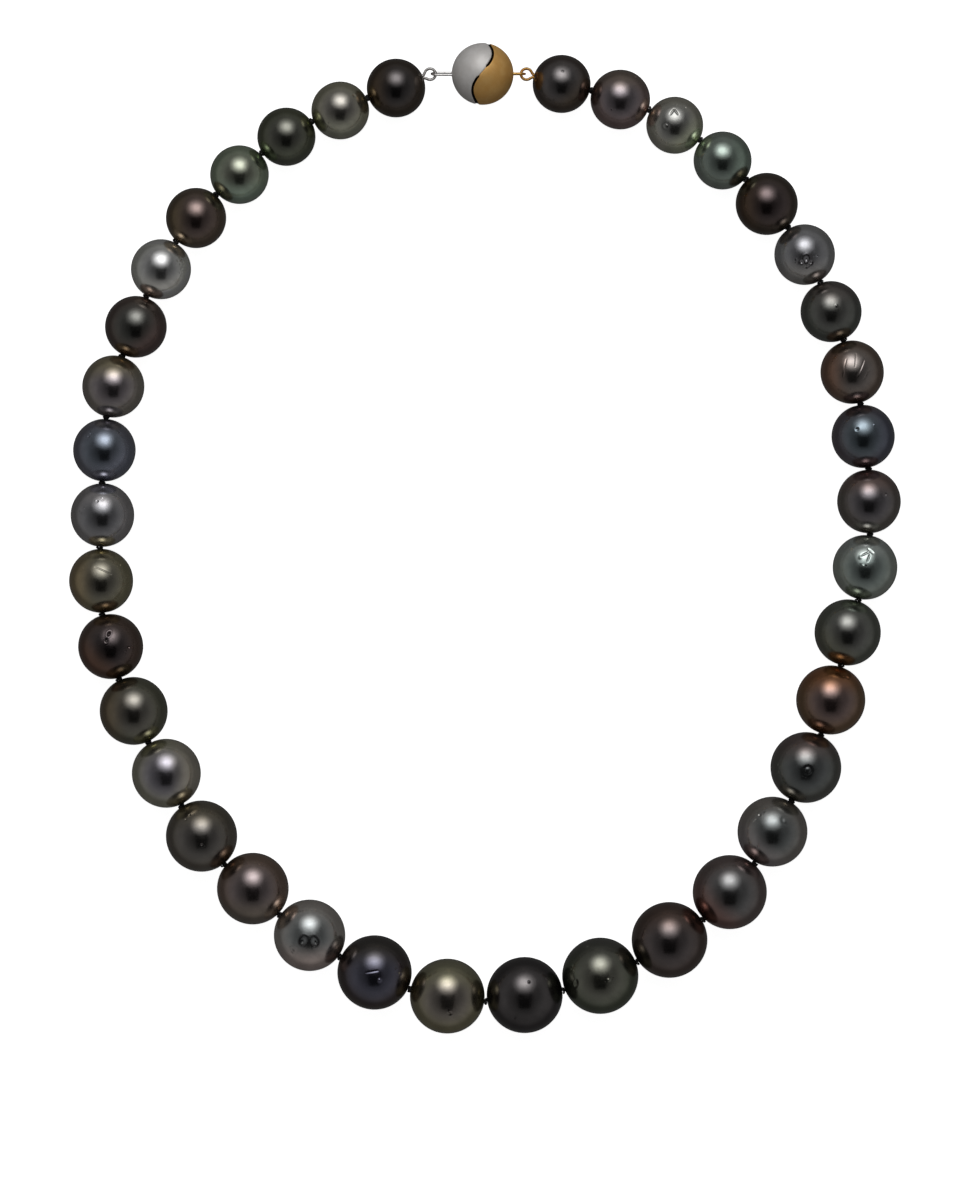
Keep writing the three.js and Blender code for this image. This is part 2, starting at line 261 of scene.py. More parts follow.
def pearl_material(number, radius, crown, rim, accent, accent_angle, metal, rough):
    """Nacre: the colour of its crown, of its rim, and of an overtone that lies to one side."""
    nodes = Nodes(f"nacre_{number:02d}")
    place = nodes.object_place(1 / radius)
    cloud = nodes.noise(place, 1.3, 3, 0.55, 0.4)
    height = nodes.dot(place, (0, 0, 1))
    crown_share = nodes.ramp(height, 0.45, 0.96)
    body = nodes.mix(crown_share, linear(rim), linear(crown))
    angle = math.radians(accent_angle)
    toward = nodes.dot(place, (math.cos(angle), math.sin(angle), 0))
    accent_share = nodes.ramp(toward, 0.05, 0.85)
    body = nodes.mix(accent_share, body, linear(accent))
    cloudy = nodes.mix(nodes.ramp(cloud, 0.3, 0.7), (0.86, 0.86, 0.86, 1), (1.14, 1.14, 1.14, 1))
    body = nodes.mix(1.0, body, cloudy, "MULTIPLY")
    nodes.join(body, nodes.shader.inputs["Base Color"])
    grain = nodes.noise(place, 9, 3, 0.6)
    nodes.join(nodes.ramp(grain, 0.3, 0.7, rough - 0.03, rough + 0.03), nodes.shader.inputs["Roughness"])
    skin = nodes.noise(place, 24, 2, 0.5)
    nodes.bump(skin, 0.06, 0.02 * MM)
    nodes.shader.inputs["Metallic"].default_value = metal
    nodes.shader.inputs["Coat Weight"].default_value = 0.12
    nodes.shader.inputs["Coat Roughness"].default_value = 0.12
    return nodes.material


def metal_material(name, colour, dark, rough, grain_scale, grain_strength, metallic=1.0):
    """Satin metal: fine blasted grain, with patches a little darker at random."""
    nodes = Nodes(name)
    place = nodes.object_place(1 / MM)
    patch = nodes.noise(place, 0.7, 3, 0.6)
    nodes.join(nodes.mix(nodes.ramp(patch, 0.3, 0.75), linear(dark), linear(colour)),
               nodes.shader.inputs["Base Color"])
    grain = nodes.noise(place, grain_scale, 3, 0.7)
    nodes.join(nodes.ramp(grain, 0.3, 0.7, rough - 0.05, rough + 0.05), nodes.shader.inputs["Roughness"])
    nodes.bump(grain, grain_strength, 0.01 * MM)
    nodes.shader.inputs["Metallic"].default_value = metallic
    return nodes.material


def silk_material():
    nodes = Nodes("black_silk")
    place = nodes.object_place(1 / MM)
    fibre = nodes.noise(place, 14, 3, 0.6)
    nodes.join(nodes.mix(fibre, linear(0x0C0B0C), linear(0x2A2628)), nodes.shader.inputs["Base Color"])
    nodes.bump(fibre, 0.4, 0.02 * MM)
    nodes.shader.inputs["Roughness"].default_value = 0.5
    nodes.shader.inputs["Sheen Weight"].default_value = 0.15
    return nodes.material


WHITE_GOLD = metal_material("white_gold_satin", 0xFBF8F5, 0xF0ECE8, 0.55, 30, 0.25, 0.4)
YELLOW_GOLD = metal_material("yellow_gold_satin", 0xFFCC7C, 0xF6BC68, 0.52, 30, 0.25, 0.4)
# Near-black metal for the lip under the slot of the S: painted shade in the depth of the slot.
SLOT_SHADE_BLACK = metal_material("slot_painted_shade", 0x1C1817, 0x0E0C0B, 0.5, 20, 0.3)
WHITE_WIRE = metal_material("white_gold_wire", 0xF4F2F0, 0xDCD8D6, 0.24, 12, 0.1)
YELLOW_WIRE = metal_material("yellow_gold_wire", 0xFFD080, 0xFFC468, 0.3, 12, 0.1)
SPRING_STEEL = metal_material("spring_steel", 0x9A9DA0, 0x7E8184, 0.3, 20, 0.15)
# Darker copies of the two golds for the faces inside the clasp: painted shade of the hollow between the
# halves.
SHADED_WHITE_GOLD = metal_material("white_gold_painted_shade", 0x6A6664, 0x4C4948, 0.45, 20, 0.3)
SHADED_YELLOW_GOLD = metal_material("yellow_gold_painted_shade", 0x7A5A30, 0x5C4222, 0.45, 20, 0.3)
SILK = silk_material()

# ---------------------------------------------------------------- the pearls

# Crown, rim and overtone colours, the way the overtone lies in degrees (0 to the right, 90 to the clasp),
# how metallic the lustre is and how rough.
PEARLS = [
    (0x5C5858, 0x64584C, 0x685848, 180, 0.95, 0.21),  # 1
    (0xA4A098, 0xD0CCB0, 0xCCCCB8, 270, 0.95, 0.21),  # 2
    (0x74746C, 0x7C8068, 0x7C8070, 270, 0.95, 0.21),  # 3
    (0xA0A494, 0xC0D0B4, 0xBCD0BC, 270, 0.95, 0.21),  # 4
    (0x7C6C68, 0x847464, 0x84745C, 180, 0.95, 0.21),  # 5
    (0xC8C8C8, 0xFFFFF4, 0xFFFCF4, 270, 0.95, 0.21),  # 6
    (0x6C6C68, 0x7C6C64, 0x806C68, 315, 0.95, 0.21),  # 7
    (0xA0989C, 0xBCB4A8, 0xC0B494, 90, 0.95, 0.21),  # 8
    (0x848C98, 0x9C9CA8, 0x989CAC, 315, 0.95, 0.21),  # 9
    (0x9C9CA0, 0xC8C4C4, 0xC8C4C4, 90, 0.95, 0.21),  # 10
    (0x908C80, 0xB4AC8C, 0xBCA884, 180, 0.95, 0.21),  # 11
    (0x605858, 0x806C60, 0x886858, 225, 0.95, 0.21),  # 12
    (0x8C8880, 0x888874, 0x94846C, 180, 0.95, 0.21),  # 13
    (0xA4A0A8, 0xD4D0B8, 0xD8D0C0, 0, 0.95, 0.21),  # 14
    (0x84807C, 0x8C8478, 0x8C8474, 90, 0.95, 0.21),  # 15
    (0x948888, 0xA48C7C, 0x9C9084, 270, 0.95, 0.21),  # 16
    (0xA4A8A8, 0xDCD4CC, 0xE8D4CC, 270, 0.95, 0.21),  # 17
    (0x747484, 0x645854, 0x605C58, 90, 0.95, 0.21),  # 18
    (0xA09890, 0xB4AC88, 0xB0AC90, 90, 0.95, 0.21),  # 19
    (0x706C6C, 0x585454, 0x585454, 270, 0.95, 0.21),  # 20
    (0x909084, 0x707864, 0x74746C, 90, 0.95, 0.21),  # 21
    (0x787070, 0x786860, 0x7C6860, 90, 0.95, 0.21),  # 22
    (0x888888, 0x948480, 0xA48078, 225, 0.95, 0.21),  # 23
    (0x8C9090, 0xBCB4AC, 0xBCB4B4, 225, 0.95, 0.21),  # 24
    (0x808484, 0x84847C, 0x90807C, 90, 0.95, 0.21),  # 25
    (0x94807C, 0xA48464, 0xB47C54, 90, 0.95, 0.21),  # 26
    (0x848480, 0x888C80, 0x8C8C7C, 225, 0.95, 0.21),  # 27
    (0xA0ACA8, 0xD4DCD0, 0xD4DCD8, 90, 0.95, 0.21),  # 28
    (0x848084, 0x948C84, 0xA08880, 90, 0.95, 0.21),  # 29
    (0x7C8890, 0x888088, 0x7C8090, 0, 0.95, 0.21),  # 30
    (0x98908C, 0x988474, 0xA4806C, 180, 0.95, 0.21),  # 31
    (0x80807C, 0x7C8078, 0x847C78, 90, 0.95, 0.21),  # 32
    (0xA0A0A4, 0xC8C8C8, 0xCCC8C4, 270, 0.95, 0.21),  # 33
    (0x645858, 0x685C50, 0x6C5848, 180, 0.95, 0.21),  # 34
    (0x94A098, 0xB8C4B8, 0xB0C4B4, 0, 0.95, 0.21),  # 35
    (0xA8A8A4, 0xD8D4C4, 0xD4D8BC, 315, 0.95, 0.21),  # 36
    (0x90888C, 0xAC9490, 0xA49488, 90, 0.95, 0.21),  # 37
    (0x787474, 0x6C6058, 0x6C6054, 315, 0.95, 0.21),  # 38
]

# Marks that nacre grows with: kind, place seen from above, size, depth (all shares of the radius),
# then for a long mark its angle and how much longer than wide it is.
BLEMISHES = {
    2: (("pit", 0.5, 0.45, 0.062, 0.016), ("pit", -0.4, -0.5, 0.044, 0.011)),
    6: (
        ("pit", 0.6, 0.25, 0.044, 0.014), ("pit", 0.68, 0.12, 0.037, 0.012),
        ("pit", 0.72, -0.02, 0.044, 0.014),
        ("pit", 0.66, -0.16, 0.031, 0.011), ("pit", 0.76, 0.2, 0.031, 0.011),
        ("pit", 0.6, -0.3, 0.037, 0.011),
    ),
    7: (("bump", 0.35, 0.75, 0.062, 0.016),),
    9: (
        ("pit", -0.45, 0.42, 0.05, 0.019), ("pit", -0.38, 0.5, 0.037, 0.016),
        ("pit", -0.56, 0.4, 0.031, 0.014),
    ),
    10: (
        ("pit", -0.1, 0.42, 0.037, 0.019), ("pit", 0.06, 0.46, 0.031, 0.014),
        ("pit", -0.5, 0.2, 0.037, 0.016),
        ("pit", -0.62, 0.05, 0.031, 0.014),
    ),
    11: (("groove", 0.12, 0.32, 0.037, 0.01, -25, 8.0),),
    12: (
        ("pit", 0.0, 0.4, 0.05, 0.05, 70, 1.7), ("pit", -0.07, 0.2, 0.045, 0.045, 75, 1.5),
        ("pit", 0.6, -0.02, 0.04, 0.035, 20, 1.4), ("pit", 0.5, -0.12, 0.035, 0.02),
    ),
    15: (
        ("pit", -0.4, 0.5, 0.037, 0.016), ("pit", -0.3, 0.62, 0.031, 0.014),
        ("pit", 0.05, -0.2, 0.037, 0.016),
    ),
    17: (
        ("pit", -0.16, -0.1, 0.088, 0.041, 60, 1.3), ("pit", 0.18, -0.12, 0.088, 0.041, 110, 1.3),
        ("pit", -0.4, -0.35, 0.062, 0.02), ("pit", -0.5, -0.25, 0.05, 0.019),
        ("pit", -0.32, -0.48, 0.05, 0.016),
        ("pit", -0.48, -0.45, 0.044, 0.014),
    ),
    18: (
        ("groove", -0.05, 0.08, 0.037, 0.014, 10, 5.0), ("bump", 0.15, -0.15, 0.056, 0.027),
        ("pit", 0.6, 0.15, 0.037, 0.016), ("pit", 0.7, 0.0, 0.037, 0.016),
    ),
    19: (("pit", 0.08, -0.4, 0.05, 0.027), ("bump", 0.04, -0.36, 0.037, 0.016)),
    20: (("bump", 0.1, 0.4, 0.037, 0.016), ("pit", -0.25, -0.55, 0.044, 0.02)),
    21: (
        ("bump", -0.75, 0.3, 0.037, 0.019), ("pit", -0.65, -0.15, 0.062, 0.027, 60, 1.6),
        ("bump", -0.35, 0.8, 0.037, 0.016), ("bump", 0.2, -0.05, 0.044, 0.019),
    ),
    24: (
        ("pit", -0.4, 0.5, 0.044, 0.019), ("pit", -0.28, 0.6, 0.037, 0.016),
        ("pit", -0.5, 0.38, 0.037, 0.016),
        ("ring", 0.35, 0.35, 0.112, 0.011), ("pit", -0.45, -0.4, 0.037, 0.016),
    ),
    25: (
        ("ring", 0.0, -0.05, 0.1, 0.016), ("pit", -0.8, 0.1, 0.037, 0.016),
        ("pit", -0.78, -0.1, 0.037, 0.016),
    ),
    26: (("pit", 0.45, 0.65, 0.05, 0.027), ("pit", 0.32, 0.74, 0.037, 0.019)),
    28: (
        ("groove", -0.05, 0.42, 0.044, 0.025, 30, 3.5), ("groove", 0.12, 0.5, 0.044, 0.025, -50, 3.0),
        ("groove", 0.05, 0.28, 0.044, 0.025, 70, 3.0), ("bump", -0.2, 0.3, 0.062, 0.014),
    ),
    29: (("pit", 0.45, 0.2, 0.062, 0.027),),
    30: (("pit", -0.25, 0.2, 0.056, 0.025), ("bump", 0.3, 0.35, 0.037, 0.014)),
    31: (
        ("groove", -0.3, 0.1, 0.031, 0.01, 80, 10.0), ("groove", 0.25, 0.15, 0.031, 0.01, 65, 12.0),
        ("groove", 0.45, 0.0, 0.031, 0.01, 60, 10.0), ("groove", 0.05, 0.35, 0.031, 0.009, 85, 8.0),
    ),
    32: (("bump", 0.12, 0.15, 0.044, 0.02),),
    33: (
        ("pit", 0.0, -0.2, 0.075, 0.048, 80, 1.4), ("pit", -0.15, -0.3, 0.062, 0.041),
        ("pit", 0.15, -0.32, 0.062, 0.041),
        ("pit", -0.32, -0.22, 0.044, 0.022), ("pit", 0.02, -0.45, 0.05, 0.027),
        ("pit", 0.35, -0.1, 0.037, 0.016),
    ),
    36: (
        ("groove", -0.12, 0.4, 0.05, 0.025, 60, 3.0), ("groove", 0.02, 0.4, 0.05, 0.025, 120, 3.0),
        ("ring", -0.35, -0.1, 0.1, 0.014), ("pit", 0.35, 0.55, 0.037, 0.016),
    ),
    37: (("bump", 0.5, 0.72, 0.05, 0.019), ("pit", -0.3, -0.4, 0.037, 0.014)),
    38: (("bump", 0.02, 0.35, 0.044, 0.014), ("pit", -0.3, -0.62, 0.037, 0.016)),
}

# How uneven the ball is, as a share of its radius, and how many waves lie across it.
SURFACES = {
    10: (0.0014, 2.6),
    24: (0.0022, 2.4),
    28: (0.0028, 2.8),
    31: (0.0014, 3.0),
    33: (0.0022, 2.6),
    36: (0.0024, 2.6),
}
EVEN_SURFACE = (0.0007, 2.2)
SKIN = 0.85  # points further out than this share of the radius lie on the ball, not in its bore


def pearl_name(i):
    return f"pearl_{i:02d}"


CENTRES, RADII = {}, {}
for number in range(1, COUNT + 1):
    low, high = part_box(pearl_name(number))
    CENTRES[number] = (low + high) / 2
    RADII[number] = max(
        (v.co - CENTRES[number]).length for v in frame["nodes"][pearl_name(number)].data.vertices
    )
SILVER_LOOP = joint_place("clasp_turns")
GOLD_LOOP = joint_place("gold_loop_turns")
BORE = 0.45 * MM
SEGMENTS = 72
STEPS = 44


def bore_direction(number):
    before = CENTRES[number - 1] if number > 1 else SILVER_LOOP
    after = CENTRES[number + 1] if number < COUNT else GOLD_LOOP
    if number == 1:
        after = CENTRES[1]
    if number == COUNT:
        before = CENTRES[COUNT]
    return (after - before).normalized()


def pearl_mesh(number):
    """A ball drilled through, with a crisp edge at both mouths. Returns a bmesh about its centre."""
    radius = RADII[number]
    along = bore_direction(number)
    side, up = basis(along)
    mouth = math.asin(BORE / radius)
    rings = []
    for i in range(STEPS + 1):
        angle = mouth + (math.pi - 2 * mouth) * i / STEPS
        rings.append((radius * math.cos(angle), radius * math.sin(angle)))
    depth = rings[0][0] - 0.6 * MM
    rings.append((-depth, BORE))
    rings.append((depth, BORE))
    verts = []
    for lie, around in rings:
        for j in range(SEGMENTS):
            turn = 2 * math.pi * j / SEGMENTS
            verts.append(along * lie + (side * math.cos(turn) + up * math.sin(turn)) * around)
    faces = []
    for i in range(len(rings)):
        for j in range(SEGMENTS):
            a = i * SEGMENTS + j
            b = i * SEGMENTS + (j + 1) % SEGMENTS
            following = (i + 1) % len(rings)
            faces.append((a, b, following * SEGMENTS + (j + 1) % SEGMENTS, following * SEGMENTS + j))
    mesh = bpy.data.meshes.new("raw")
    mesh.from_pydata([tuple(v) for v in verts], [], faces)
    shape = bmesh.new()
    shape.from_mesh(mesh)
    bpy.data.meshes.remove(mesh)
    bmesh.ops.recalc_face_normals(shape, faces=shape.faces)
    shape.verts.ensure_lookup_table()
    mouths = {0, STEPS}
    for edge in shape.edges:
        rows = {edge.verts[0].index // SEGMENTS, edge.verts[1].index // SEGMENTS}
        if len(rows) == 1 and rows <= mouths:
            edge.smooth = False
    return shape


def mark_frame(radius, x, y, angle):
    """The centre of a mark and the two directions along and across it."""
    out = Vector((x, y, math.sqrt(max(0.0, 1 - x * x - y * y)))).normalized()
    turn = math.radians(angle)
    first = Vector((math.cos(turn), math.sin(turn), 0))
    first = (first - out * first.dot(out)).normalized()
    return out * radius, first, out.cross(first)


def refine(shape, radius, kind, x, y, size, depth, angle=0.0, stretch=1.0):
    """Splits the edges round a mark until they are fine enough for it. New points lie on the ball."""
    centre, _, _ = mark_frame(radius, x, y, angle)
    reach = size * radius * 2.2 * stretch
    for _ in range(6):
        edges = []
        for edge in shape.edges:
            a, b = edge.verts[0].co, edge.verts[1].co
            length = (a - b).length
            if length > size * radius * 0.4 and ((a + b) / 2 - centre).length < reach + length * 0.5:
                edges.append(edge)
        if not edges:
            break
        bmesh.ops.subdivide_edges(shape, edges=edges, cuts=1, use_grid_fill=True)
        for vert in shape.verts:
            if vert.co.length > radius * SKIN:
                vert.co *= radius / vert.co.length


def roughen(shape, radius, number):
    """Makes the ball slightly uneven."""
    seed = Vector((number * 7.3, number * 3.1, number * 1.7))
    wobble, wave = SURFACES.get(number, EVEN_SURFACE)
    for vert in shape.verts:
        if vert.co.length > radius * SKIN:
            vert.co *= 1 + wobble * noise.noise(vert.co / radius * wave + seed)


def press(shape, radius, kind, x, y, size, depth, angle=0.0, stretch=1.0):
    """Presses a mark into the ball. Lengths are shares of the radius; x, y is seen from above."""
    centre, first, second = mark_frame(radius, x, y, angle)
    reach = size * radius * 2.9 * stretch
    for vert in shape.verts:
        offset = vert.co - centre
        if offset.length > reach or vert.co.length < radius * SKIN:
            continue
        u = offset.dot(first) / (size * radius * stretch)
        v = offset.dot(second) / (size * radius)
        d = math.hypot(u, v)
        if kind == "pit":
            push = -math.exp(-(d * 1.3) ** 2) + 0.12 * math.exp(-((d - 1.5) * 2.2) ** 2)
        elif kind == "bump":
            push = math.exp(-(d * 1.2) ** 2)
        elif kind == "ring":
            push = -math.exp(-((d - 1.0) * 3.0) ** 2)
        else:
            push = -math.exp(-(v * 1.6) ** 2) * math.sqrt(max(0.0, 1 - u * u))
        vert.co += vert.co.normalized() * push * depth * radius


for number in range(1, COUNT + 1):
    radius = RADII[number]
    crown, rim, accent, accent_angle, metal, rough = PEARLS[number - 1]
    material = pearl_material(number, radius, crown, rim, accent, accent_angle, metal, rough)
    shape = pearl_mesh(number)
    for mark in BLEMISHES.get(number, ()):
        refine(shape, radius, *mark)
    roughen(shape, radius, number)
    for mark in BLEMISHES.get(number, ()):
        press(shape, radius, *mark)
    for face in shape.faces:
        face.smooth = True
    mesh = bpy.data.meshes.new(f"nacre_{number:02d}")
    shape.to_mesh(mesh)
    shape.free()
    piece = add_piece(
        f"nacre_{number:02d}", mesh, material, f"bead_{number:02d}", CENTRES[number], (pearl_name(number),)
    )

# ---------------------------------------------------------------- silk

THREAD = 0.11 * MM  # radius of one of the two strands
LAY = 0.115 * MM  # from the middle line to each strand
PITCH = 1.6 * MM  # along the bore for one turn of the two strands
KNOT_RADIUS = 0.48 * MM
KNOT_WIRE = 0.16 * MM


def mouth(number, sign):
    radius = RADII[number]
    return CENTRES[number] + bore_direction(number) * sign * math.sqrt(radius ** 2 - BORE ** 2)


def doubled_thread(start, end):
    """Two strands twisted round each other."""
    along = end - start
    side, up = basis(along)
    steps = max(8, round(along.length / PITCH * 12))
    parts = []
    for phase in (0, math.pi):
        points = []
        for i in range(steps + 1):
            turn = phase + 2 * math.pi * along.length / PITCH * i / steps
            points.append(start + along * i / steps + (side * math.cos(turn) + up * math.sin(turn)) * LAY)
        parts.append(tube(points, THREAD, 8))
    return joined(*parts)


def knot(middle, along, turn):
    """An overhand knot pulled tight: a trefoil lying across the strand."""
    along = along.normalized()
    side, up = basis(along)
    points = []
    steps = 60
    for i in range(steps):
        t = 2 * math.pi * i / steps
        lie = KNOT_RADIUS / 3 * (math.sin(t + turn) + 2 * math.sin(2 * t + turn))
        rise = KNOT_RADIUS / 3 * (math.cos(t + turn) - 2 * math.cos(2 * t + turn))
        points.append(middle + side * lie + up * rise - along * math.sin(3 * t) * 0.1 * MM)
    return tube(points, KNOT_WIRE, 9, closed=True)


for number in range(1, COUNT + 1):
    along = bore_direction(number)
    start, end = mouth(number, -1), mouth(number, 1)
    inset = along * 1.2 * MM
    overlap = along * 0.12 * MM
    start = start + (inset if number == 1 else -overlap)
    end = end - (inset if number == COUNT else -overlap)
    verts, faces = doubled_thread(start, end)
    if number < COUNT:
        middle = (mouth(number, 1) + mouth(number + 1, -1)) / 2
        outward = middle.copy()
        outward.z = 0
        middle += outward.normalized() * 0.1 * MM
        verts, faces = joined(
            (verts, faces), knot(middle, along + bore_direction(number + 1), number * 1.3)
        )
    piece = new_piece(
        f"silk_{number:02d}", verts, faces, SILK, f"bead_{number:02d}", stands_for=("silk_strand",)
    )

# ---------------------------------------------------------------- clasp

silver_low, silver_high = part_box("silver_shell")
gold_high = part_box("gold_shell")[1]
CLASP = Vector((
    (silver_low.x + gold_high.x) / 2,
    (silver_low.y + silver_high.y) / 2,
    (silver_low.z + silver_high.z) / 2,
))
CLASP_RADIUS = (gold_high.x - silver_low.x) / 2
WALL = 0.6 * MM
HALF_GAP = 0.19 * MM
CLOSED_GAP = 0.015 * MM
CLOSED_REACH = 0.75 * MM  # the slot is closed this far to each side of its middle
CLOSED_BLEND = 0.16 * MM
SWING = 1.65 * MM
TURNS = 0.425
EDGE_ROUND = 0.07 * MM


def s_line(y):
    return SWING * math.sin(2 * math.pi * TURNS * y / CLASP_RADIUS)


def half_gap(y):
    """Half the width of the slot across the S, measured along X."""
    slope = (s_line(y + 1e-6) - s_line(y - 1e-6)) / 2e-6
    share = min(1, max(0, (abs(y) - CLOSED_REACH) / CLOSED_BLEND))
    share = math.sqrt(1 - (1 - share) ** 2)
    gap = CLOSED_GAP + (HALF_GAP - CLOSED_GAP) * share
    return gap * math.sqrt(1 + slope ** 2)


def parting_angle(turn, radius, back):
    """How far round the ball, from its -X pole, the edge of the silver half lies."""
    low, high = 0.0, math.pi
    for _ in range(40):
        middle = (low + high) / 2
        x = -radius * math.cos(middle)
        y = radius * math.sin(middle) * math.cos(turn)
        if x < s_line(y) - half_gap(y) - back:
            low = middle
        else:
            high = middle
    return (low + high) / 2


def half_ball():
    """The silver half's shell about the middle of the ball, from its outside to its inside."""
    around, steps, inner_steps = 192, 40, 16
    rows = []
    for i in range(1, steps + 1):
        rows.append((CLASP_RADIUS, i / steps, EDGE_ROUND))
    rows.append((CLASP_RADIUS - EDGE_ROUND * 0.3, 1, EDGE_ROUND * 0.3))
    rows.append((CLASP_RADIUS - EDGE_ROUND, 1, 0))
    rows.append((CLASP_RADIUS - WALL, 1, 0))
    for i in range(inner_steps - 1, 0, -1):
        rows.append((CLASP_RADIUS - WALL, i / inner_steps, 0))
    verts, faces = [Vector((-CLASP_RADIUS, 0, 0))], []
    for radius, share, back in rows:
        for j in range(around):
            turn = 2 * math.pi * j / around
            polar = parting_angle(turn, radius, back) * share
            verts.append(Vector((
                -radius * math.cos(polar),
                radius * math.sin(polar) * math.cos(turn),
                radius * math.sin(polar) * math.sin(turn),
            )))
    last = len(verts)
    verts.append(Vector((-(CLASP_RADIUS - WALL), 0, 0)))
    for j in range(around):
        k = (j + 1) % around
        faces.append((0, 1 + k, 1 + j))
        for i in range(len(rows) - 1):
            a, b = 1 + i * around, 1 + (i + 1) * around
            faces.append((a + j, a + k, b + k, b + j))
        a = 1 + (len(rows) - 1) * around
        faces.append((a + j, a + k, last))
    sharp = []
    for row in (steps + 1, steps + 2):
        for j in range(around):
            sharp.append((1 + row * around + j, 1 + row * around + (j + 1) % around))
    return verts, faces, sharp


def turned(part, half_turn):
    verts, faces = part
    if not half_turn:
        return verts, faces
    return [Vector((-v.x, -v.y, v.z)) for v in verts], faces


shell_verts, shell_faces, shell_sharp = half_ball()
for name, half_turn, material, body, slot in (
    ("silver_half_ball", False, WHITE_GOLD, "silver_half", "white_gold"),
    ("gold_half_ball", True, YELLOW_GOLD, "gold_half", "yellow_gold"),
):
    verts, faces = turned((shell_verts, shell_faces), half_turn)
    node = "gold_shell" if half_turn else "silver_shell"
    piece = new_piece(name, verts, faces, material, body, CLASP, (node,), shell_sharp)


def slot_lip():
    """A near-black lip on the silver half that closes the slot from below: painted shade in the slot."""
    around = 192
    outer, inner = CLASP_RADIUS - 0.13 * MM, CLASP_RADIUS - WALL * 0.9
    verts, faces = [], []
    for j in range(around):
        turn = 2 * math.pi * j / around
        for radius, back in ((outer, 0.08 * MM), (outer, None), (inner, None), (inner, 0.08 * MM)):
            if back is None:
                near = parting_angle(turn, radius, 0)
                y = radius * math.sin(near) * math.cos(turn)
                back = 0.03 * MM - 2 * half_gap(y)
            polar = parting_angle(turn, radius, back)
            verts.append(Vector((
                -radius * math.cos(polar),
                radius * math.sin(polar) * math.cos(turn),
                radius * math.sin(polar) * math.sin(turn),
            )))
    for j in range(around):
        a, b = 4 * j, 4 * ((j + 1) % around)
        for k in range(4):
            following = (k + 1) % 4
            faces.append((a + k, a + following, b + following, b + k))
    return verts, faces


# The near-black lip is painted shade in the slot between the halves.
lip_verts, lip_faces = slot_lip()
new_piece("silver_lip", lip_verts, lip_faces, SLOT_SHADE_BLACK, "silver_half", CLASP)

# ---------------------------------------------------------------- eyelets

EYELET_WIRE = 0.175 * MM
LEG_OFFSET = 0.725 * MM
LOOP_RADIUS = 0.9 * MM
LOOP_WIRE = 0.225 * MM


def staple(loop_x, tilt, half_turn):
    """A wire eyelet: two legs out of the ball, drawn together to a narrow tip inside the wound loop."""
    tip = loop_x + LOOP_RADIUS - LOOP_WIRE - 0.43 * MM
    reach = -CLASP_RADIUS + WALL * 0.6
    outline = [
        (reach, LEG_OFFSET), (-CLASP_RADIUS - 0.3 * MM, LEG_OFFSET), (tip + LEG_OFFSET * 1.15, LEG_OFFSET),
        (tip + LEG_OFFSET * 0.62, LEG_OFFSET * 0.86), (tip + LEG_OFFSET * 0.18, LEG_OFFSET * 0.5), (tip, 0),
    ]
    outline += [(x, -z) for x, z in reversed(outline[:-1])]
    points = smooth_path([Vector((x, 0, z)) for x, z in outline], 6)
    verts, faces = tube(points, EYELET_WIRE, 14)
    collars = []
    for sign in (1, -1):
        ring = []
        for j in range(24):
            turn = 2 * math.pi * j / 24
            foot = Vector((0, math.cos(turn), math.sin(turn))) * EYELET_WIRE * 1.15
            foot.z += sign * LEG_OFFSET
            foot.x = -math.sqrt(CLASP_RADIUS ** 2 - foot.z ** 2 - foot.y ** 2)
            ring.append(foot)
        collars.append(tube(ring, 0.07 * MM, 8, closed=True))
    verts, faces = joined((verts, faces), *collars)
    verts = [Matrix.Rotation(tilt, 3, "X") @ v for v in verts]
    return turned((verts, faces), half_turn)


SILVER_TILT = math.radians(20)  # about the line of the clasp

for name, loop, tilt, half_turn, material, body, node, slot in (
    (
        "silver_staple", SILVER_LOOP, SILVER_TILT, False, WHITE_WIRE, "silver_half",
        "silver_eyelet", "white_gold",
    ),
    ("gold_staple", GOLD_LOOP, 0.0, True, YELLOW_WIRE, "gold_half", "gold_eyelet", "yellow_gold"),
):
    verts, faces = staple(-abs(loop.x - CLASP.x), tilt, half_turn)
    new_piece(name, verts, faces, material, body, CLASP, (node,))

# ---------------------------------------------------------------- wound loops

COIL_WIRE = 0.065 * MM
COIL_RADIUS = 0.2 * MM
COIL_PITCH = 0.15 * MM


def wound_loop(middle, toward):
    """Fine wire coiled round the silk: out of the pearl's hole, round the loop and back into the hole."""
    side = toward.cross(UP).normalized()
    outline = [(2.0, 0.15), (1.5, 0.16), (1.12, 0.2)]
    opening = math.radians(34)
    for i in range(13):
        angle = opening + (2 * math.pi - 2 * opening) * i / 12
        outline.append((0.9 * math.cos(angle), 0.9 * math.sin(angle)))
    outline += [(1.12, -0.2), (1.5, -0.16), (2.0, -0.15)]
    path = smooth_path([toward * u * MM + side * v * MM for u, v in outline], 40)
    lengths = [0.0]
    for a, b in zip(path, path[1:]):
        lengths.append(lengths[-1] + (b - a).length)
    core = tube(path[::8], COIL_RADIUS, 8)
    coil = []
    steps_per_turn = 9
    total = lengths[-1]
    steps = round(total / COIL_PITCH * steps_per_turn)
    at = 0
    for i in range(steps + 1):
        goal = total * i / steps
        while at < len(path) - 2 and lengths[at + 1] < goal:
            at += 1
        share = (goal - lengths[at]) / max(1e-12, lengths[at + 1] - lengths[at])
        place = path[at].lerp(path[at + 1], min(1, share))
        tangent = (path[at + 1] - path[at]).normalized()
        across = UP.cross(tangent).normalized()
        turn = 2 * math.pi * i / steps_per_turn
        coil.append(place + (across * math.cos(turn) + UP * math.sin(turn)) * COIL_RADIUS)
    return joined(core, tube(coil, COIL_WIRE, 6))


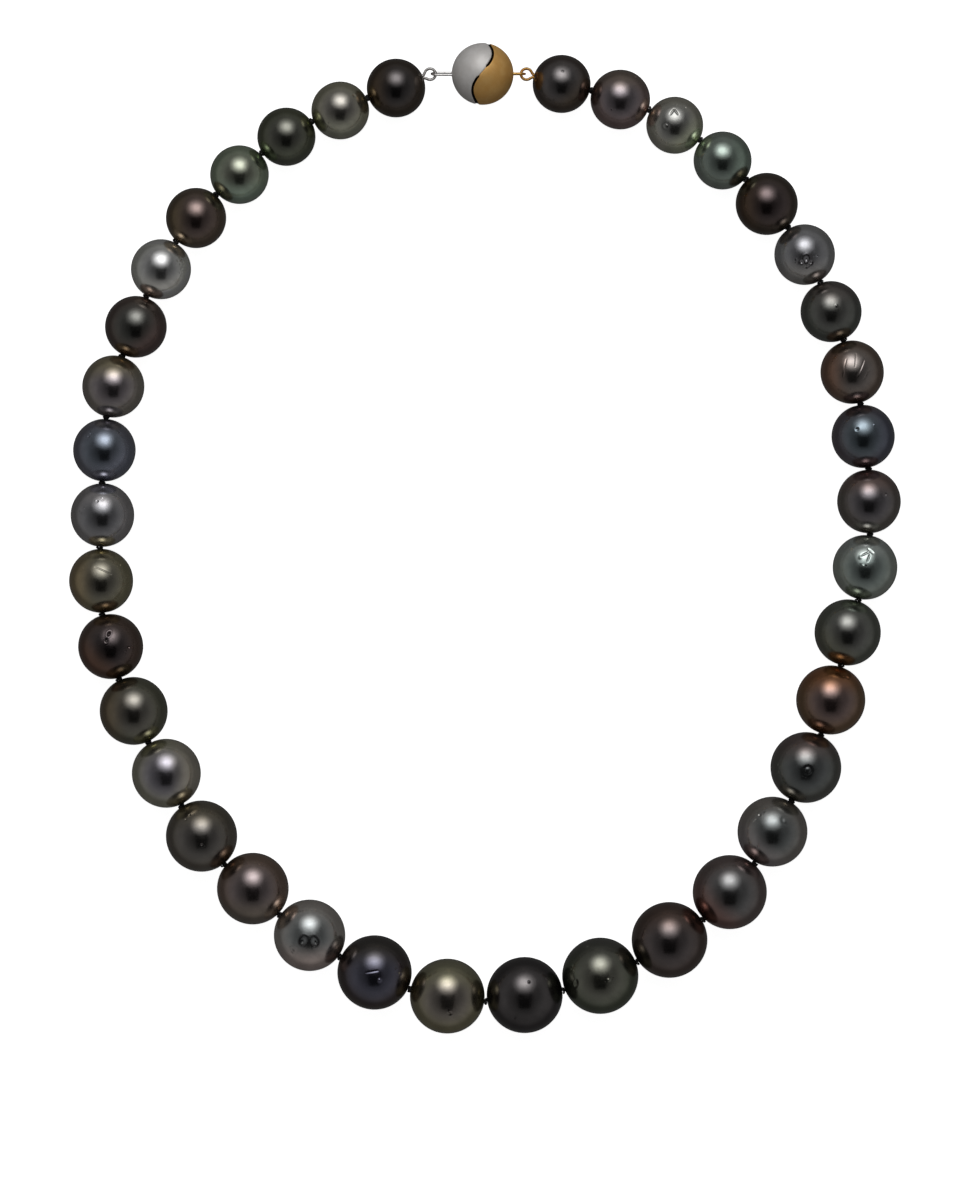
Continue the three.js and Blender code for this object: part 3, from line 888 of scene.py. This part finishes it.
for name, middle, toward, material, body, node, slot in (
    (
        "silver_coil_loop", SILVER_LOOP, bore_direction(1), WHITE_WIRE, "bead_01",
        "silver_wound_loop", "white_gold",
    ),
    (
        "gold_coil_loop", GOLD_LOOP, -bore_direction(COUNT), YELLOW_WIRE, "gold_loop",
        "gold_wound_loop", "yellow_gold",
    ),
):
    verts, faces = wound_loop(middle, toward)
    new_piece(name, verts, faces, material, body, middle, (node,))

# ---------------------------------------------------------------- inside the clasp, with painted shade on its two faces

# The faces of the two halves take the darker gold copies: painted shade inside the clasp.
INSIDE = {
    "silver_face": SHADED_WHITE_GOLD,
    "gold_face": SHADED_YELLOW_GOLD,
    "catch_pin": YELLOW_WIRE,
    "catch_spring": SPRING_STEEL,
}
for node, material in INSIDE.items():
    mesh = frame["nodes"][node].data
    mesh.materials.clear()
    mesh.materials.append(material)

# ---------------------------------------------------------------- stage and light


def new_plane(name, corners, material):
    mesh = bpy.data.meshes.new(name)
    mesh.from_pydata([tuple(c) for c in corners], [], [(0, 1, 2, 3)])
    mesh.materials.append(material)
    obj = bpy.data.objects.new(name, mesh)
    bpy.context.scene.collection.objects.link(obj)
    return obj


def flat_material(name, colour, glow):
    nodes = Nodes(name)
    nodes.shader.inputs["Base Color"].default_value = (*colour, 1)
    nodes.shader.inputs["Roughness"].default_value = 1.0
    nodes.shader.inputs["Specular IOR Level"].default_value = 0.0
    nodes.shader.inputs["Emission Color"].default_value = (1, 1, 1, 1)
    nodes.shader.inputs["Emission Strength"].default_value = glow
    return nodes.material


FLOOR_SIZE = 4.0
FLOOR_GLOW = 0.93  # leaves the table white, with only a faint shadow
floor = new_plane(
    "table",
    [
        (-FLOOR_SIZE, -FLOOR_SIZE, 0), (FLOOR_SIZE, -FLOOR_SIZE, 0),
        (FLOOR_SIZE, FLOOR_SIZE, 0), (-FLOOR_SIZE, FLOOR_SIZE, 0),
    ],
    flat_material("table_white", (0.9, 0.9, 0.9), FLOOR_GLOW),
)
floor.visible_glossy = False
floor.visible_diffuse = False

# A black card over the necklace: the dark spot in the middle of every pearl is its reflection.
CARD_CORNERS = [(-0.34, 0.02, 0.9), (0.34, 0.02, 0.9), (0.3, -0.72, 0.82), (-0.3, -0.72, 0.82)]
card = new_plane(
    "dark_card",
    CARD_CORNERS,
    flat_material("card_black", (0.01, 0.01, 0.01), 0.0),
)
card.visible_camera = False
card.visible_shadow = False


def softbox(name, place, size, power, spread=180, shape="DISK"):
    data = bpy.data.lights.new(name, "AREA")
    data.shape = shape
    data.size = size
    data.energy = power
    data.spread = math.radians(spread)
    obj = bpy.data.objects.new(name, data)
    obj.location = place
    obj.rotation_euler = (Vector((0, 0, 0)) - Vector(place)).to_track_quat("-Z", "Y").to_euler()
    bpy.context.scene.collection.objects.link(obj)
    return obj


def watts(radiance, size):
    """The power of a round softbox that looks as bright as radiance."""
    return radiance * math.pi * math.pi * size ** 2 / 4


SOFTBOXES = ((0.34, 1.1), (0.6, 1.0), (0.9, 0.5), (1.25, 0.25))  # diameter and radiance, one behind the other
SOFTBOX_Y, SOFTBOX_Z = 0.56, 0.70
SOFTBOX_STEP = 0.01  # further back for each metre of diameter

for size, radiance in SOFTBOXES:
    place = (0, SOFTBOX_Y + size * SOFTBOX_STEP, SOFTBOX_Z + size * SOFTBOX_STEP)
    softbox("softbox", place, size, watts(radiance, size))

world = bpy.data.worlds.new("studio")
world.use_nodes = True
tree = world.node_tree
background = next(n for n in tree.nodes if n.type == "BACKGROUND")
output = next(n for n in tree.nodes if n.type == "OUTPUT_WORLD")
coords = tree.nodes.new("ShaderNodeTexCoord")
parts = tree.nodes.new("ShaderNodeSeparateXYZ")
tree.links.new(coords.outputs["Generated"], parts.inputs["Vector"])
ramp = tree.nodes.new("ShaderNodeValToRGB")
shift = tree.nodes.new("ShaderNodeMapRange")
shift.inputs["From Min"].default_value = -1
shift.inputs["From Max"].default_value = 1
tree.links.new(parts.outputs["Z"], shift.inputs["Value"])
tree.links.new(shift.outputs["Result"], ramp.inputs["Fac"])
# Height, from straight down to straight up, and how bright the room is there.
levels = ((0.0, 0.06), (0.35, 0.08), (0.5, 0.19), (0.7, 0.2), (0.88, 0.09), (1.0, 0.02))
while len(ramp.color_ramp.elements) > 1:
    ramp.color_ramp.elements.remove(ramp.color_ramp.elements[0])
ramp.color_ramp.elements[0].position = levels[0][0]
ramp.color_ramp.elements[0].color = (levels[0][1],) * 3 + (1,)
for position, level in levels[1:]:
    element = ramp.color_ramp.elements.new(position)
    element.color = (level, level, level, 1)
tree.links.new(ramp.outputs["Color"], background.inputs["Color"])
background.inputs["Strength"].default_value = 1.0
seen = tree.nodes.new("ShaderNodeBackground")
seen.inputs["Color"].default_value = (1, 1, 1, 1)
path = tree.nodes.new("ShaderNodeLightPath")
blend = tree.nodes.new("ShaderNodeMixShader")
tree.links.new(path.outputs["Is Camera Ray"], blend.inputs[0])
tree.links.new(background.outputs["Background"], blend.inputs[1])
tree.links.new(seen.outputs["Background"], blend.inputs[2])
tree.links.new(blend.outputs["Shader"], output.inputs["Surface"])
bpy.context.scene.world = world
bpy.context.scene.view_settings.view_transform = "Standard"
